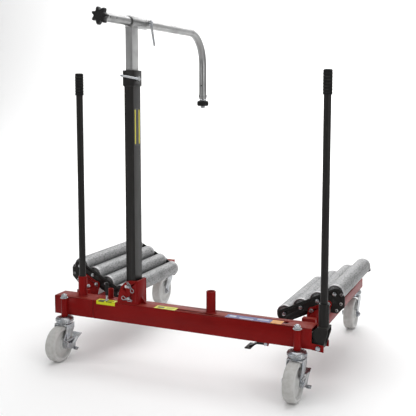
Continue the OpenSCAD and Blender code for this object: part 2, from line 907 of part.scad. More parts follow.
module foot_knob() {
  color([0.1, 0.1, 0.1]) placed() translate([0, arm_reach, arm_low]) {
    translate([0, 0, -14]) cylinder(r = 6, h = 24);
    translate([0, 0, -10]) cylinder(r = 17, h = 8);
    translate([0, 0, -34]) linear_extrude(height = 25) union() {
      circle(r = 23);
      for (k = [0 : 5]) rotate(k * 60) translate([20, 0]) circle(r = 8.5);
    }
    translate([0, 0, -42]) cylinder(r = 10, h = 9);
    translate([0, 0, -46]) cylinder(r1 = 6, r2 = 10, h = 4.5);
  }
}

main_beam();
right_leg();
right_cradle();
right_stand_bolts();
right_axles();
lever_pin();
pedal_pin();
front_right_stem();
rear_right_stem();
left_frame();
left_leg();
left_cradle();
left_stand_bolts();
left_axles();
front_left_stem();
rear_left_stem();
slide_tube();
rack_bar();
front_right_fork();
front_left_fork();
rear_right_fork();
rear_left_fork();
front_right_axle();
front_left_axle();
rear_right_axle();
rear_left_axle();
front_right_wheel();
front_left_wheel();
rear_right_wheel();
rear_left_wheel();
front_right_brake();
front_left_brake();
right_roller_1();
right_roller_2();
right_roller_3();
right_roller_4();
left_roller_1();
left_roller_2();
left_roller_3();
left_roller_4();
lever_crank();
crank_roller();
right_bar();
right_grip();
pull_rod();
release_pedal();
width_pin();
left_bar();
left_grip();
left_screw();
mast_tube();
mast_pins();
spring_clips();
mast_screw();
inner_mast();
arm_screw();
arm_tube();
star_knob();
foot_knob();
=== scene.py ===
import json
import math

import bmesh
import bpy
import numpy as np
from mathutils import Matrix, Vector


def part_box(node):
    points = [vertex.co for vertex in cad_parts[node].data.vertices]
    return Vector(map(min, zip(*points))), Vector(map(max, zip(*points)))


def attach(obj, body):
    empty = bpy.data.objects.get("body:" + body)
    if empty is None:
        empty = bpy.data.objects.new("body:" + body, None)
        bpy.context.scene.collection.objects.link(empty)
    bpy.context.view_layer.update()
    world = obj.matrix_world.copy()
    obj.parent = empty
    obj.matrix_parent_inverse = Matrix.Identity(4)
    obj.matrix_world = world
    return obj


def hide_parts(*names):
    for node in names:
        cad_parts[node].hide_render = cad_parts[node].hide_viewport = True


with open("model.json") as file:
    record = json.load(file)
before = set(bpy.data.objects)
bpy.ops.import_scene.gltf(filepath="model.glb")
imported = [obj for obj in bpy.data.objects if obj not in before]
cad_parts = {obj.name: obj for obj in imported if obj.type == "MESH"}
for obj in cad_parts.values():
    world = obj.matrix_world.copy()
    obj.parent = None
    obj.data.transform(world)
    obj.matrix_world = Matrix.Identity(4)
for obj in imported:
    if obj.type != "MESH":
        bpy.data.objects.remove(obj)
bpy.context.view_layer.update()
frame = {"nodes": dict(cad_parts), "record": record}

record = frame["record"]
bodyOf = {node: body for body, names in record["behaviour"]["bodies"].items() for node in names}
slotOf = {part["node"]: part["material_slot"] for part in record["subparts"]}
mm = 0.001
print("frame loaded:", len(frame["nodes"]), "nodes")


# shader maths

class Wire:  # one node output; the operators add Math nodes
    def __init__(self, tree, out):
        self.tree = tree
        self.out = out

    def maths(self, operation, *values):
        return addNode(self.tree, "ShaderNodeMath", {"operation": operation}, dict(enumerate(values)))

    def __add__(self, other):
        return self.maths("ADD", self, other)

    def __sub__(self, other):
        return self.maths("SUBTRACT", self, other)

    def __rsub__(self, other):
        return self.maths("SUBTRACT", other, self)

    def __mul__(self, other):
        return self.maths("MULTIPLY", self, other)

    __radd__ = __add__
    __rmul__ = __mul__

    def band(self, low, high):  # 0 below low, 1 above high, smooth between; runs backwards if low > high
        down = low > high
        ends = (high, low) if down else (low, high)
        return addNode(self.tree, "ShaderNodeMapRange", {"interpolation_type": "SMOOTHSTEP"},
                       {0: self, 1: ends[0], 2: ends[1], 3: 1.0 if down else 0.0, 4: 0.0 if down else 1.0})


def addNode(tree, kind, settings=None, inputs=None, output=0):
    node = tree.nodes.new(kind)
    for key, value in (settings or {}).items():
        setattr(node, key, value)
    for key, value in (inputs or {}).items():
        if isinstance(value, Wire):
            tree.links.new(value.out, node.inputs[key])
        else:
            node.inputs[key].default_value = value
    return Wire(tree, node.outputs[output])


def blend(tree, amount, first, second):  # colour mix, first where amount is 0
    first, second = [c if isinstance(c, Wire) else (*c, 1.0) for c in (first, second)]
    return addNode(tree, "ShaderNodeMix", {"data_type": "RGBA"}, {0: amount, 6: first, 7: second}, 2)


def grain(tree, scale, detail=3.0, stretch=(1, 1, 1), rough=0.5):  # noise on object coordinates, 0 to 1
    place = addNode(tree, "ShaderNodeTexCoord", output=3)
    spread = addNode(tree, "ShaderNodeMapping", None, {0: place, 3: stretch})
    return addNode(tree, "ShaderNodeTexNoise", None, {"Vector": spread, "Scale": scale, "Detail": detail,
                                                      "Roughness": rough})


def cells(tree, scale, stretch=(1, 1, 1)):  # distance to the nearest of scattered points
    place = addNode(tree, "ShaderNodeTexCoord", output=3)
    spread = addNode(tree, "ShaderNodeMapping", None, {0: place, 3: stretch})
    return addNode(tree, "ShaderNodeTexVoronoi", None, {"Vector": spread, "Scale": scale})


def facingUp(tree):  # 1 on faces that look up
    normal = addNode(tree, "ShaderNodeNewGeometry", output=1)
    return addNode(tree, "ShaderNodeSeparateXYZ", None, {0: normal}, 2).band(0.55, 0.95)


def worn(tree):  # the mesh's own wear, and on the wheels also painted shade in the recess; 0 where it has none
    return addNode(tree, "ShaderNodeAttribute", {"attribute_name": "wear"}, output=2)


def finish(name, fixed, paint):
    # paint gives what varies: colour, roughness, metallic, and height as (wire, strength, distance)
    material = bpy.data.materials.new(name)
    material.use_nodes = True
    tree = material.node_tree
    shader = tree.nodes["Principled BSDF"]
    for key, value in fixed.items():
        shader.inputs[key].default_value = value
    varied = paint(tree)
    if "height" in varied:
        wire, strength, distance = varied.pop("height")
        varied["Normal"] = addNode(tree, "ShaderNodeBump", None,
                                   {"Strength": strength, "Distance": distance, "Height": wire})
    for key, wire in varied.items():
        tree.links.new(wire.out, shader.inputs[key])
    return material


redLook = dict(face=(0.215, 0.0065, 0.0058), deep=(0.175, 0.0048, 0.0045), dust=(0.32, 0.105, 0.07),
               chip=(0.10, 0.05, 0.04),
               dusting=0.30, chipAt=0.745)


def redPaint(tree):  # red, darker in slow clouds, dusted where it looks up, with a few chips down to primer
    look = redLook
    cloud, speck = grain(tree, 7), grain(tree, 240, 2)
    colour = blend(tree, cloud.band(0.35, 0.75), look["face"], look["deep"])
    dusty = facingUp(tree) * (0.55 + 0.45 * grain(tree, 22, 4).band(0.3, 0.7))
    colour = blend(tree, dusty * look["dusting"], colour, look["dust"])
    chips = grain(tree, 150, 2).band(look["chipAt"], look["chipAt"] + 0.02) * grain(tree, 12).band(0.5, 0.62)
    colour = blend(tree, chips * 0.8, colour, look["chip"])
    rub = grain(tree, 26, 4).band(0.45, 0.8)
    return {"Base Color": colour, "Roughness": 0.33 + 0.05 * rub + 0.12 * dusty + 0.2 * chips,
            "height": (speck - 0.8 * chips, 0.10, 0.0006)}


blackLook = dict(face=(0.0125, 0.0115, 0.0108), worn=(0.022, 0.020, 0.018), dust=(0.075, 0.068, 0.06))


def blackPaint(tree):  # near black, a little browner in clouds, fine pebbled skin, greyed where it looks up
    look = blackLook
    cloud, pebble = grain(tree, 14, 4), grain(tree, 620, 2)
    colour = blend(tree, cloud.band(0.45, 0.8) * 0.45, look["face"], look["worn"])
    colour = blend(tree, facingUp(tree) * 0.18, colour, look["dust"])
    scuff = grain(tree, 60, 4, (5, 5, 0.5)).band(0.62, 0.72)
    colour = blend(tree, scuff * 0.25, colour, look["dust"])
    return {"Base Color": colour, "Roughness": 0.36 + 0.12 * cloud + 0.1 * scuff,
            "height": (pebble, 0.16, 0.0005)}


def gripRubber(tree):  # matt black, fine grain, greyer on the rubbed ridges
    rub = worn(tree) * grain(tree, 55, 3).band(0.35, 0.7)
    colour = blend(tree, rub * 0.5, (0.011, 0.011, 0.011), (0.055, 0.053, 0.05))
    return {"Base Color": colour, "Roughness": 0.62 + 0.2 * grain(tree, 90),
            "height": (grain(tree, 800, 2), 0.3, 0.0004)}


def blackPlastic(tree):  # moulded black, faint flow marks, slightly polished where hands reach
    rub = worn(tree)
    colour = blend(tree, grain(tree, 30, 4, (1, 1, 3)) * 0.5, (0.010, 0.010, 0.0105), (0.028, 0.027, 0.027))
    return {"Base Color": colour, "Roughness": 0.48 + 0.1 * grain(tree, 200) - 0.16 * rub,
            "height": (grain(tree, 420, 3), 0.12, 0.0004)}


nylonLook = dict(face=(0.54, 0.54, 0.53), shade=(0.42, 0.42, 0.41), grime=(0.30, 0.28, 0.25))


def paleNylon(tree):  # off-white, cloudy, with grime on the tread, grime and painted shade darkening the recess, and fine scuffs
    look = nylonLook
    colour = blend(tree, grain(tree, 24, 4).band(0.35, 0.75) * 0.6, look["face"], look["shade"])
    # grime on the tread; in the wheel recess this mask is grime and painted shade
    grime = worn(tree) * (0.35 + 0.65 * grain(tree, 70, 5).band(0.35, 0.7))
    colour = blend(tree, grime * 0.42, colour, look["grime"])
    return {"Base Color": colour, "Roughness": 0.40 + 0.25 * grime,
            "height": (grain(tree, 260, 4), 0.14, 0.0006)}


rollerLook = dict(face=(0.19, 0.19, 0.19), dark=(0.105, 0.11, 0.112), bright=(0.66, 0.66, 0.67))


def rollerZinc(tree):  # dull zinc drawn lengthwise: streaks along the tube, small spangle, bright rubbed rims
    look = rollerLook
    streak = grain(tree, 30, 5, (6, 0.22, 6), 0.6)
    spangle = cells(tree, 150, (1, 0.4, 1))
    colour = blend(tree, streak.band(0.4, 0.75), look["face"], look["dark"])
    colour = blend(tree, spangle.band(0.15, 0.6) * 0.25, colour, look["bright"])
    smear = grain(tree, 16, 4).band(0.55, 0.75)
    colour = blend(tree, smear * 0.3, colour, look["dark"])
    colour = blend(tree, worn(tree) * 0.75, colour, look["bright"])
    return {"Base Color": colour, "Roughness": 0.44 + 0.14 * streak - 0.24 * worn(tree) + 0.06 * smear,
            "height": (streak + 0.4 * spangle, 0.10, 0.0007)}


def brightChrome(tree):  # bright plate with hand smears and hairline rubs along it
    smear = grain(tree, 18, 5).band(0.42, 0.75)
    hair = grain(tree, 260, 2, (1, 1, 0.06))
    colour = blend(tree, smear * 0.5, (0.33, 0.33, 0.33), (0.21, 0.21, 0.208))
    return {"Base Color": colour, "Roughness": 0.26 + 0.14 * smear + 0.05 * hair,
            "height": (hair, 0.05, 0.0003)}


def bareSteel(tree):  # oiled steel, blue-grey scale over brighter metal, brown where oil has dried
    scale, oil = grain(tree, 34, 6), grain(tree, 9, 3).band(0.5, 0.7)
    colour = blend(tree, scale.band(0.4, 0.65), (0.42, 0.41, 0.40), (0.17, 0.17, 0.18))
    colour = blend(tree, oil * 0.5, colour, (0.10, 0.065, 0.04))
    return {"Base Color": colour, "Roughness": 0.32 + 0.25 * scale, "height": (scale, 0.14, 0.0005)}


zincLook = dict(face=(0.42, 0.43, 0.44), blue=(0.33, 0.37, 0.43), dull=(0.21, 0.205, 0.20))


def zincPlate(tree):  # bright zinc with bluish passivation clouds and dull patches
    look = zincLook
    tint, dull = grain(tree, 45, 3), grain(tree, 28, 5).band(0.5, 0.78)
    colour = blend(tree, tint.band(0.42, 0.7) * 0.55, look["face"], look["blue"])
    colour = blend(tree, dull * 0.6, colour, look["dull"])
    return {"Base Color": colour, "Roughness": 0.24 + 0.22 * dull + 0.06 * grain(tree, 300),
            "height": (grain(tree, 380, 2), 0.08, 0.0004)}


def darkHollow(tree):  # the inside of a drilled hole, oily and unlit
    colour = blend(tree, grain(tree, 300, 2), (0.006, 0.005, 0.005), (0.02, 0.017, 0.015))
    return {"Base Color": colour, "Roughness": 0.5 + 0.3 * grain(tree, 120)}


def vinyl(ground, ink, bars, rim):
    # printed vinyl on its own UV map: a rim, then plain blocks of ink laid out as a grid that stands for
    # no writing
    def paint(tree):
        across = addNode(tree, "ShaderNodeUVMap", {"uv_map": "label"})
        u = addNode(tree, "ShaderNodeSeparateXYZ", None, {0: across}, 0)
        v = addNode(tree, "ShaderNodeSeparateXYZ", None, {0: across}, 1)
        inner = u.band(rim[0], rim[0] + 0.01) * u.band(1 - rim[0], 0.99 - rim[0])
        inner = inner * v.band(rim[1], rim[1] + 0.02) * v.band(1 - rim[1], 0.98 - rim[1])
        blocks = 0
        for left, right, low, high in bars:
            blocks = blocks + (u.band(left, left + 0.01) * u.band(right, right - 0.01)
                               * v.band(low, low + 0.03) * v.band(high, high - 0.03))
        colour = blend(tree, blocks * inner, ground, ink)
        colour = blend(tree, inner, tuple(0.5 * c for c in ground) if rim[2] else ground, colour)
        grime = grain(tree, 60, 4).band(0.45, 0.8)
        colour = blend(tree, grime * 0.22, colour, (0.12, 0.09, 0.07))
        return {"Base Color": colour, "Roughness": 0.28 + 0.2 * grime,
                "height": (grain(tree, 120, 3), 0.06, 0.0004)}
    return paint


finishes = {
    "red_paint": finish("redPaint", {"Coat Weight": 0.02, "Coat Roughness": 0.2, "Specular IOR Level": 0.07},
                        redPaint),
    "black_paint": finish("blackPaint", {"Specular IOR Level": 0.2}, blackPaint),
    "grip_rubber": finish("gripRubber", {"Specular IOR Level": 0.12}, gripRubber),
    "black_plastic": finish("blackPlastic", {"Specular IOR Level": 0.14}, blackPlastic),
    "pale_nylon": finish("paleNylon", {"Specular IOR Level": 0.3}, paleNylon),
    "zinc_roller": finish("rollerZinc", {"Metallic": 0.85}, rollerZinc),
    "bright_chrome": finish("brightChrome", {"Metallic": 1.0}, brightChrome),
    "bare_steel": finish("bareSteel", {"Metallic": 0.9}, bareSteel),
    "zinc_hardware": finish("zincPlate", {"Metallic": 0.95}, zincPlate),
    "hollow": finish("darkHollow", {"Specular IOR Level": 0.2}, darkHollow),
    "yellow": finish("yellowVinyl", {"Specular IOR Level": 0.15},
                     vinyl((0.58, 0.60, 0.014), (0.05, 0.05, 0.02),
                           [(0.10, 0.42, 0.25, 0.75), (0.52, 0.90, 0.58, 0.72), (0.52, 0.84, 0.28, 0.40)],
                           (0.02, 0.05, False))),
    "blue": finish("blueVinyl", {"Specular IOR Level": 0.15},
                   vinyl((0.045, 0.055, 0.20), (0.40, 0.42, 0.48),
                         [(0.06, 0.22, 0.35, 0.80), (0.30, 0.62, 0.20, 0.42), (0.68, 0.94, 0.45, 0.75)],
                         (0.012, 0.06, False))),
    "orange": finish("orangeVinyl", {"Specular IOR Level": 0.15},
                     vinyl((0.62, 0.25, 0.015), (0.50, 0.20, 0.02), [(0.15, 0.85, 0.25, 0.75)],
                           (0.06, 0.06, False))),
    "gauge": finish("gaugeVinyl", {},
                    vinyl((0.62, 0.56, 0.02), (0.012, 0.012, 0.012),
                          [(0.2, 0.8, -0.1, 1.1), (-0.1, 1.1, -0.1, 0.06), (-0.1, 1.1, 0.94, 1.1)],
                          (-0.05, -0.05, False))),
}
print("finishes made:", len(finishes))


# shapes

def softened(points, reach, steps=6, closed=False):
    # a chain of points with each corner turned into a parabola that starts and ends `reach` from it
    p = np.asarray(points, float)
    before, after = np.roll(p, 1, 0) - p, np.roll(p, -1, 0) - p
    longBefore, longAfter = np.linalg.norm(before, axis=1), np.linalg.norm(after, axis=1)
    room = np.minimum(np.broadcast_to(reach, len(p)), 0.48 * np.minimum(longBefore, longAfter))[:, None]
    a, b = p + before / np.maximum(longBefore, 1e-12)[:, None] * room, p + after / np.maximum(longAfter,
        1e-12)[:, None] * room
    t = np.linspace(0, 1, steps)[None, :, None]
    curve = (1 - t) ** 2 * a[:, None] + 2 * t * (1 - t) * p[:, None] + t ** 2 * b[:, None]
    if closed:
        return curve.reshape(-1, p.shape[1])
    return np.concatenate([p[:1], curve[1:-1].reshape(-1, p.shape[1]), p[-1:]])


def gridMesh(name, grid, ring=True, loop=False, wear=None):
    # quads between the rows and columns of a grid of points; ring joins the last column to the first, loop
    # the rows
    rows, columns = grid.shape[:2]
    r, c = np.meshgrid(np.arange(rows if loop else rows - 1), np.arange(columns if ring else columns - 1),
                       indexing="ij")
    r2, c2 = (r + 1) % rows, (c + 1) % columns
    quads = np.stack([r * columns + c, r * columns + c2, r2 * columns + c2, r2 * columns + c], -1).reshape(-1,
        4)
    mesh = bpy.data.meshes.new(name)
    mesh.from_pydata(grid.reshape(-1, 3).tolist(), [], quads.tolist())
    rubbed = mesh.attributes.new("wear", "FLOAT", "POINT")
    amount = np.zeros(rows * columns) if wear is None else np.repeat(np.asarray(wear, float), columns)
    rubbed.data.foreach_set("value", amount.astype(np.float32))
    work = bmesh.new()
    work.from_mesh(mesh)
    bmesh.ops.remove_doubles(work, verts=work.verts, dist=2e-6)
    bmesh.ops.recalc_face_normals(work, faces=work.faces)
    work.to_mesh(mesh)
    work.free()
    return mesh


axisFrames = {"x": np.array([[0, 1, 0], [0, 0, 1], [1, 0, 0]], float),
              "y": np.array([[0, 0, 1], [1, 0, 0], [0, 1, 0]], float),
              "z": np.array([[1, 0, 0], [0, 1, 0], [0, 0, 1]], float)}


def backward(axis):  # the same axis looking the other way
    across, over, ahead = axisFrames[axis]
    return across, -over, -ahead


def turned(profile, axis, centre, sides=64, shape=None, wear=None):
    # a profile of (radius, along) in millimetres carried round an axis; shape changes the radius by angle
    profile = np.asarray(profile, float)
    angle = np.linspace(0, 2 * np.pi, sides, endpoint=False)[None, :]
    radius, along = np.broadcast_to(profile[:, :1], (len(profile), sides)), np.broadcast_to(profile[:, 1:],
        (len(profile), sides))
    if shape is not None:
        radius = shape(radius, along, angle)
    across, over, ahead = axisFrames[axis] if isinstance(axis, str) else axis
    grid = (radius * np.cos(angle))[..., None] * across + (radius * np.sin(angle))[...,
        None] * over + along[..., None] * ahead
    return gridMesh("turned", grid * mm + np.asarray(centre, float), wear=wear)


def hexed(flats):  # no corner of a turned blank stands outside a hexagon of this size across flats
    def shape(radius, along, angle):
        return np.minimum(radius, flats / 2 / np.cos(np.mod(angle, np.pi / 3) - np.pi / 6))
    return shape


def hexHead(axis, centre, flats, low, high, chamferLow=False):
    corner, step = flats / 2 / math.cos(math.pi / 6), 0.16 * (high - low)
    foot = [(0, low), (flats / 2 * 0.96, low), (corner, low + step)] if chamferLow else [(0, low),
        (corner, low)]
    return turned(foot + [(corner, high - step), (0.5 * (corner + flats * 0.47), high - 0.4 * step),
                          (flats / 2 * 0.94, high), (0, high)],
                  axis, centre, 72, hexed(flats))


def rodMesh(path, radius, side, sides=20, wear=None, round_=True):
    # a circle carried along a flat path; side is the direction square to the path's plane
    path, side = np.asarray(path, float), np.asarray(side, float)
    radius = np.broadcast_to(radius, len(path)).astype(float)
    run = np.gradient(path, axis=0)
    run /= np.linalg.norm(run, axis=1)[:, None]
    if round_:  # rounded tips
        turn = np.linspace(0, np.pi / 2, 5)
        tip = path[0] - run[0] * radius[0] * 0.6 * np.cos(turn)[:, None]
        end = path[-1] + run[-1] * radius[-1] * 0.6 * np.sin(turn)[:, None]
        path = np.concatenate([tip[:-1], path, end[1:]])
        radius = np.concatenate([radius[0] * np.sin(turn)[:-1], radius, radius[-1] * np.cos(turn)[1:]])
        run = np.concatenate([np.repeat(run[:1], 4, 0), run, np.repeat(run[-1:], 4, 0)])
    over = np.cross(run, side)
    angle = np.linspace(0, 2 * np.pi, sides, endpoint=False)[None, :, None]
    grid = path[:, None] + radius[:, None, None] * (np.cos(angle) * side + np.sin(angle) * over[:, None])
    return gridMesh("rod", grid, wear=wear)


def weldBead(path, radius, side, seed=1, loop=False):
    # a rippled bead along a flat path: even scallops with a little unevenness
    path = np.asarray(path, float)
    if loop:
        path = np.concatenate([path, path[:1]])
    length = np.concatenate([[0], np.cumsum(np.linalg.norm(np.diff(path, axis=0), axis=1))])
    s = np.linspace(0, length[-1], max(int(length[-1] / (radius * 0.28)), 12))
    points = np.stack([np.interp(s, length, path[:, k]) for k in range(3)], 1)
    random = np.random.default_rng(seed)
    uneven = np.interp(s, np.linspace(0, length[-1], 24), random.uniform(-0.12, 0.12, 24))
    thick = radius * (0.86 + 0.16 * np.abs(np.sin(s / (radius * 0.75))) + uneven)
    return rodMesh(points, thick, side, 10)


def piece(name, meshes, body, look, replaced=(), sharp=38):
    whole = bmesh.new()
    for mesh in meshes:
        whole.from_mesh(mesh)
    mesh = bpy.data.meshes.new(name)
    whole.to_mesh(mesh)
    whole.free()
    mesh.materials.append(finishes[look])
    mesh.polygons.foreach_set("use_smooth", [True] * len(mesh.polygons))
    mesh.set_sharp_from_angle(angle=math.radians(sharp))
    made = bpy.data.objects.new(name, mesh)
    bpy.context.collection.objects.link(made)
    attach(made, body)
    if replaced:
        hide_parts(*replaced)
    return made


def eased(node, edge=0.9, steps=2, bend=34):
    # a copy of a node's solid merged, with its corners eased by a bevel
    work = bmesh.new()
    work.from_mesh(frame["nodes"][node].data)
    bmesh.ops.remove_doubles(work, verts=work.verts, dist=2e-6)
    mesh = bpy.data.meshes.new(node + "_eased")
    work.to_mesh(mesh)
    work.free()
    mesh.materials.append(finishes[slotOf[node]])
    mesh.polygons.foreach_set("use_smooth", [True] * len(mesh.polygons))
    made = bpy.data.objects.new(node + "_eased", mesh)
    bpy.context.collection.objects.link(made)
    bevel = made.modifiers.new("corners", "BEVEL")
    bevel.width = edge * mm
    bevel.segments = steps
    bevel.limit_method = "ANGLE"
    bevel.angle_limit = math.radians(bend)
    bevel.use_clamp_overlap = False
    bevel.harden_normals = True
    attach(made, bodyOf[node])
    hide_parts(node)
    return made


def span(node):  # lowest and highest corner and the middle, in metres
    low, high = (np.array(corner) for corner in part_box(node))
    return low, high, (low + high) / 2


# frame, cradles and forks: eased copies

easing = {"main_beam": 2.2, "left_frame": 2.2, "right_leg": 1.4, "left_leg": 1.4, "slide_tube": 1.5,
          "right_cradle": 0.9,
          "left_cradle": 0.9, "rack_bar": 0.6, "front_right_fork": 0.8, "front_left_fork": 0.8,
          "rear_right_fork": 0.8,
          "rear_left_fork": 0.8, "front_right_brake": 0.6, "front_left_brake": 0.6, "lever_crank": 1.2,
          "pull_rod": 0.8,
          "release_pedal": 0.9, "mast_tube": 1.8, "inner_mast": 0.5, "right_stand_bolts": 0.5,
          "left_stand_bolts": 0.5,
          "pedal_pin": 0.5, "crank_roller": 0.8, "mast_pins": 0.8}
for node, edge in easing.items():
    eased(node, edge)
print("eased copies:", len(easing))


# where the frame's tubes stand, in millimetres of the shared frame

tube = dict(line=-344, half=40, top=266, mast=-218, mastHalf=21, centreSocket=132, leftSocket=-474, post=-345,
            postLine=-324,
            legEdge=-303.4, legTop=228.4, armHeight=1425)


# casters: wheels, king bolts, wheel axles

# how dark the wheel recess is painted, as grime and painted shade
wheelShape = dict(recessGrimeAndShade=0.8)


def makeWheel(node):
    low, high, centre = span(node)
    radius = (high[2] - low[2]) / 2 / mm
    outline = np.array([[8.06, -27], [20, -27], [23, -17], [radius - 21, -14], [radius - 15.5, -23.2],
                        [radius - 6, -23.4],
                        [radius - 1.6, -18.5], [radius, -10], [radius, 10], [radius - 1.6, 18.5],
                        [radius - 6, 23.4],
                        [radius - 15.5, 23.2], [radius - 21, 14], [23, 17], [20, 27], [8.06, 27]])
    profile = softened(outline, 3.2, 7, closed=True)
    tread = np.clip((profile[:, 0] - radius + 8) / 7, 0, 1)
    # painted shade: the wheel's recess is darkened, as grime and shade, through the wear attribute
    recessGrimeAndPaintedShade = np.clip(1 - np.abs(profile[:, 0] - radius + 24) / 8, 0, 1) * wheelShape["recessGrimeAndShade"]

    def moulded(radius_, along, angle):  # faint flow lines round the rim
        return radius_ + 0.12 * np.sin(24 * angle) * (radius_ > radius - 3)
    wheel = loopMesh(profile, "x", centre, 120, moulded, np.maximum(tread, recessGrimeAndPaintedShade))
    return piece(node + "_moulding", [wheel], bodyOf[node], "pale_nylon", [node], 50)


def loopMesh(profile, axis, centre, sides=96, shape=None, wear=None):
    # a closed profile carried round an axis, for rings and tubes with a bore
    closed = np.concatenate([profile, profile[:1]])
    return turned(closed, axis, centre, sides, shape, None if wear is None else np.append(wear, wear[0]))


def makeStem(node):
    low, high, centre = span(node)
    foot, top, mid = low[2] / mm, high[2] / mm, np.array([centre[0], centre[1], 0.0])
    head, seat = 184.0, top - 19  # top of the race, and where the washer sits
    race = softened([[8, head - 20], [33, head - 20], [39, head - 17.4], [39, head - 15],
                     [37.2, head - 13.6], [39, head - 12.2], [39, head - 8.6], [34.5, head - 3.4],
                     [31, head - 4.4], [27, head - 1.2], [20, head], [8, head]], 0.9, 4, True)
    washer = softened([[8, seat], [17, seat], [17, seat + 2.6], [8, seat + 3]], 0.8, 4, True)
    collar = softened([[0, seat + 12.5], [9.6, seat + 12.5], [9.6, seat + 15.2], [7.2, seat + 17.4],
                       [5, seat + 17.8], [5, seat + 18.8], [0, seat + 19]], 1.0, 5)
    shank = [[0, foot + 1], [7.9, foot + 1], [7.9, seat + 10], [0, seat + 10]]
    return piece(node + "_turned", [
        turned(shank, "z", mid),
        loopMesh(race, "z", mid, 96),
        loopMesh(washer, "z", mid, 64),
        hexHead("z", mid, 24, seat + 3, seat + 13.4),
        turned(collar, "z", mid),
        hexHead("z", mid, 22, foot, foot + 4.4)], bodyOf[node], "zinc_hardware", [node])


def makeAxle(node):
    low, high, centre = span(node)
    reach = (high[0] - low[0]) / 2 / mm
    shank = [[0, -reach + 1], [7.9, -reach + 1], [7.9, reach - 1.2], [6.8, reach], [0, reach]]
    washer = softened([[0, reach - 16], [15, reach - 16], [15, reach - 14.4], [0, reach - 14.4]], 0.5, 3)
    return piece(node + "_turned", [
        turned(shank, "x", centre),
        hexHead(backward("x"), centre, 22, reach - 7, reach),
        hexHead("x", centre, 23.5, reach - 14.4, reach - 5.6, True),
        turned(washer, "x", centre)],
        bodyOf[node], "zinc_hardware", [node])


for corner in ("front_right", "front_left", "rear_right", "rear_left"):
    makeWheel(corner + "_wheel")
    makeStem(corner + "_stem")
    makeAxle(corner + "_axle")
print("casters made")


# rollers and their axles

rollerShape = dict(dish=7.0, rim=1.6, rings=0.12)


def makeRoller(node):
    low, high, centre = span(node)
    radius, long = (high[0] - low[0]) / 2 / mm, (high[1] - low[1]) / mm
    a, b, dish, rim = 2.5, long - 2.5, rollerShape["dish"], rollerShape["rim"]
    face = [[8.06, a - 2.5], [13, a - 2.5], [14, a + 1], [16, a + dish * 0.8], [24, a + dish],
            [radius - 5.5, a + dish], [radius - 3.6, a + 0.6], [radius - 2.6, a], [radius - rim, a],
            [radius, a + rim]]
    outline = np.array(face + [[r, long - y] for r, y in face[::-1]])
    profile = softened(outline, 1.1, 5)
    inward = np.minimum(profile[:, 1] - a, b - profile[:, 1])
    rims = np.clip(1 - inward / 5, 0, 1) * (profile[:, 0] > radius - 6)
    body = np.linspace(profile[len(profile) // 2 - 1], profile[len(profile) // 2], 30)[1:-1]
    rounds = np.concatenate([profile[:len(profile) // 2], body, profile[len(profile) // 2:]])
    rims = np.concatenate([rims[:len(profile) // 2], np.zeros(28), rims[len(profile) // 2:]])

    def rolled(radius_, along, angle):  # a seam flat of a tenth of a millimetre and slow waviness
        outer = radius_ > radius - 0.5
        seam = np.exp(-((angle - 1.1) / 0.05) ** 2)
        return radius_ - outer * rollerShape["rings"] * (seam + 0.3 * (1 + np.sin(along * 0.05 + 3 * angle)))
    tubeMesh = turned(rounds, "y", (centre[0], low[1], centre[2]), 112, rolled, rims)
    return piece(node + "_tube", [tubeMesh], bodyOf[node], "zinc_roller", [node], 40)


for side in ("right", "left"):
    ends = []
    low, high, centre = span(side + "_axles")
    for k in range(4):
        makeRoller(f"{side}_roller_{k + 1}")
        middle = span(f"{side}_roller_{k + 1}")[2]
        long = (high[1] - low[1]) / mm
        seat = (middle[0], low[1], middle[2])
        ends += [turned([[0, 5], [7.9, 5], [7.9, long - 5], [0, long - 5]], "y", seat, 40),
                 hexHead(backward("y"), seat, 13, -5.4, 0),
                 hexHead("y", seat, 13, long - 5.6, long)]
    piece(side + "_axles_turned", ends, bodyOf[side + "_axles"], "zinc_hardware", [side + "_axles"])
print("rollers made")


# knobs, arm and clamp screws

starShape = dict(lobes=7, cut=0.34, fat=1.25)


def makeStar():
    low, high, centre = span("star_knob")
    radius = (high[2] - low[2]) / 2 / mm + 0.6
    seat = (centre[0], high[1] - 10 * mm, centre[2])  # face of the arm's end

    def starred(radius_, along, angle):  # lobes fade out towards the middle of the faces
        wave = (0.5 + 0.5 * np.cos(starShape["lobes"] * (angle + np.pi / 2))) ** starShape["fat"]
        return radius_ * (1 - starShape["cut"] * (1 - wave) * np.clip((radius_ / radius - 0.45) / 0.4, 0, 1))
    body = softened([[0, 9], [radius - 12, 9], [radius - 1.5, 11], [radius, 17], [radius, 30],
                     [radius - 2.5, 36],
                     [radius - 10, 39.4], [radius - 17, 39.9], [radius - 19, 37.4], [0, 36.6]], 4, 8)
    rub = np.clip((body[:, 0] - radius + 6) / 6, 0, 1)
    neck = softened([[0, 1.2], [14, 1.2], [15, 3], [15, 7], [18, 10], [0, 10]], 1, 4)
    frameBack = backward("y")
    piece("star_knob_moulding", [turned(body, frameBack, seat, 196, starred, rub),
                                 turned(neck, frameBack, seat)],
          "star_knob", "black_plastic", ["star_knob"], 50)
    piece("star_knob_stud", [turned([[0, -9], [5.9, -9], [5.9, 4], [0, 4]], frameBack, seat, 32)],
          "star_knob", "zinc_hardware")


